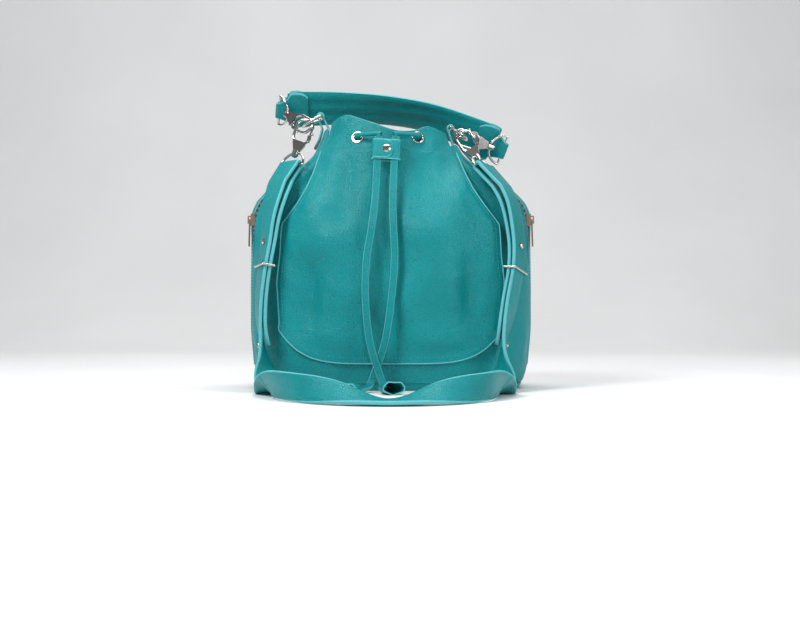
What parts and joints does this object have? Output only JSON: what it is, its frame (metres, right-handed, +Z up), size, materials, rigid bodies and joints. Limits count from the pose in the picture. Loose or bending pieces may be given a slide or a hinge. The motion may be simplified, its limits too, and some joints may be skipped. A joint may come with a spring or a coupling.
{
  "type": "bucket bag",
  "caption": "Leather drawstring bucket bag with gathered mouth, zipped sides, clip-on handle and clip-on shoulder strap on D-rings.",
  "frame": {"origin": "middle of the base, on the surface the bag stands on", "axes": "+Z up, +X to the bag's right as seen from the front, front faces -Y"},
  "size_m": [0.29, 0.3712, 0.31],
  "materials": {
    "leather": "pebbled, semi-matt, turquoise",
    "nickel": "polished nickel",
    "lining_cloth": "woven lining",
    "zip_tape": "woven tape",
    "board": "stiffener board"
  },
  "bodies": {
    "bag": {"front_panel": "leather", "back_panel": "leather", "front_wrap_left": "leather", "front_wrap_right": "leather", "rear_wrap_left": "leather", "rear_wrap_right": "leather", "base_panel": "leather", "base_board": "board", "base_piping": "leather", "lining": "lining_cloth", "front_collar": "leather", "back_collar": "leather", "eyelets": "nickel", "drawstring": "leather", "zip_tape_left": "zip_tape", "zip_tape_right": "zip_tape", "zip_teeth_left": "nickel", "zip_teeth_right": "nickel", "ring_tab_left": "leather", "ring_tab_right": "leather", "lace_tail_left": "leather", "lace_tail_right": "leather", "tassel_left": "leather", "tassel_right": "leather"},
    "cord_slide": {"cord_slide": "leather", "cord_slide_rivet": "nickel"},
    "handle": {"handle": "leather", "handle_tab_left": "leather", "handle_tab_right": "leather", "handle_ring_left": "nickel", "handle_ring_right": "nickel"},
    "strap": {"strap_left": "leather", "strap_middle": "leather", "strap_right": "leather", "strap_ring_left": "nickel", "strap_ring_right": "nickel", "strap_studs": "nickel"},
    "d_ring_left": {"d_ring_left": "nickel"},
    "handle_hook_left": {"handle_hook_left": "nickel"},
    "handle_gate_left": {"handle_gate_left": "nickel"},
    "strap_hook_left": {"strap_hook_left": "nickel"},
    "strap_gate_left": {"strap_gate_left": "nickel"},
    "strap_loop_left": {"strap_loop_left": "nickel"},
    "zip_slider_left": {"zip_slider_left": "nickel"},
    "zip_pull_left": {"zip_pull_left": "nickel"},
    "d_ring_right": {"d_ring_right": "nickel"},
    "handle_hook_right": {"handle_hook_right": "nickel"},
    "handle_gate_right": {"handle_gate_right": "nickel"},
    "strap_hook_right": {"strap_hook_right": "nickel"},
    "strap_gate_right": {"strap_gate_right": "nickel"},
    "strap_loop_right": {"strap_loop_right": "nickel"},
    "zip_slider_right": {"zip_slider_right": "nickel"},
    "zip_pull_right": {"zip_pull_right": "nickel"}
  },
  "joints": [
    {"name": "d_ring_left_hinge", "type": "hinge", "parent": "bag", "child": "d_ring_left", "pos_m": [-0.072, 0, 0.277], "axis": [0, -1, 0], "range_deg": [0, 4]},
    {"name": "d_ring_right_hinge", "type": "hinge", "parent": "bag", "child": "d_ring_right", "pos_m": [0.061, 0, 0.265], "axis": [0, 1, 0], "range_deg": [0, 4]},
    {"name": "handle_swing", "type": "hinge", "parent": "bag", "child": "handle", "pos_m": [-0.08746, 0.008, 0.26857], "axis": [0.9974, 0.0187, -0.0692], "range_deg": [0, 42]},
    {"name": "strap_swing", "type": "hinge", "parent": "bag", "child": "strap", "pos_m": [-0.08664, -0.009, 0.26902], "axis": [-0.9973, 0.0125, 0.0723], "range_deg": [0, 30]},
    {"name": "handle_hook_left_swivel", "type": "hinge", "parent": "handle", "child": "handle_hook_left", "pos_m": [-0.10671, 0.0285, 0.28161], "axis": [0.6211, -0.6612, -0.4208], "range_deg": [-12, 12]},
    {"name": "handle_gate_left_hinge", "type": "hinge", "parent": "handle_hook_left", "child": "handle_gate_left", "pos_m": [-0.0994, 0.01593, 0.26699], "axis": [-0.5474, -0.7502, 0.3708], "range_deg": [0, 22], "stiffness_Nm_per_rad": 0.01, "springref_deg": -17.19},
    {"name": "handle_hook_right_swivel", "type": "hinge", "parent": "handle", "child": "handle_hook_right", "pos_m": [0.10066, 0.02218, 0.25001], "axis": [-0.9013, -0.3605, 0.2403], "range_deg": [-12, 12]},
    {"name": "handle_gate_right_hinge", "type": "hinge", "parent": "handle_hook_right", "child": "handle_gate_right", "pos_m": [0.0856, 0.01533, 0.26231], "axis": [0.3483, -0.9328, -0.0929], "range_deg": [0, 22], "stiffness_Nm_per_rad": 0.01, "springref_deg": -17.19},
    {"name": "strap_hook_left_swivel", "type": "hinge", "parent": "strap", "child": "strap_hook_left", "pos_m": [-0.09587, -0.02336, 0.23961], "axis": [0.2715, 0.4224, 0.8648], "range_deg": [-12, 12]},
    {"name": "strap_gate_left_hinge", "type": "hinge", "parent": "strap_hook_left", "child": "strap_gate_left", "pos_m": [-0.08308, -0.01533, 0.25365], "axis": [0.1265, -0.9064, 0.403], "range_deg": [0, 22], "stiffness_Nm_per_rad": 0.01, "springref_deg": -17.19},
    {"name": "strap_hook_right_swivel", "type": "hinge", "parent": "strap", "child": "strap_hook_right", "pos_m": [0.08632, -0.03071, 0.23333], "axis": [-0.3999, 0.5799, 0.7098], "range_deg": [-10, 8]},
    {"name": "strap_gate_right_hinge", "type": "hinge", "parent": "strap_hook_right", "child": "strap_gate_right", "pos_m": [0.08569, -0.0197, 0.25074], "axis": [-0.2846, -0.8147, 0.5052], "range_deg": [0, 22], "stiffness_Nm_per_rad": 0.01, "springref_deg": -17.19},
    {"name": "cord_slide_travel", "type": "slide", "parent": "bag", "child": "cord_slide", "axis": [-0.0476, -0.3044, -0.9513], "range_m": [0, 0.035]},
    {"name": "zip_slider_left_travel", "type": "slide", "parent": "bag", "child": "zip_slider_left", "axis": [-0.0293, 0, -0.9996], "range_m": [0, 0.105]},
    {"name": "zip_pull_left_hinge", "type": "hinge", "parent": "zip_slider_left", "child": "zip_pull_left", "pos_m": [-0.14272, -0.02339, 0.1702], "axis": [0, 1, 0], "range_deg": [0, 110]},
    {"name": "zip_slider_right_travel", "type": "slide", "parent": "bag", "child": "zip_slider_right", "axis": [0.0293, 0, -0.9996], "range_m": [0, 0.105]},
    {"name": "zip_pull_right_hinge", "type": "hinge", "parent": "zip_slider_right", "child": "zip_pull_right", "pos_m": [0.14272, -0.02339, 0.1702], "axis": [0, -1, 0], "range_deg": [0, 110]},
    {"name": "strap_loop_left_travel", "type": "slide", "parent": "strap", "child": "strap_loop_left", "axis": [0.1136, 0.1325, 0.9846], "range_m": [-0.004, 0.004]},
    {"name": "strap_loop_right_travel", "type": "slide", "parent": "strap", "child": "strap_loop_right", "axis": [0.136, 0.1943, 0.9715], "range_m": [-0.004, 0.004]}
  ]
}
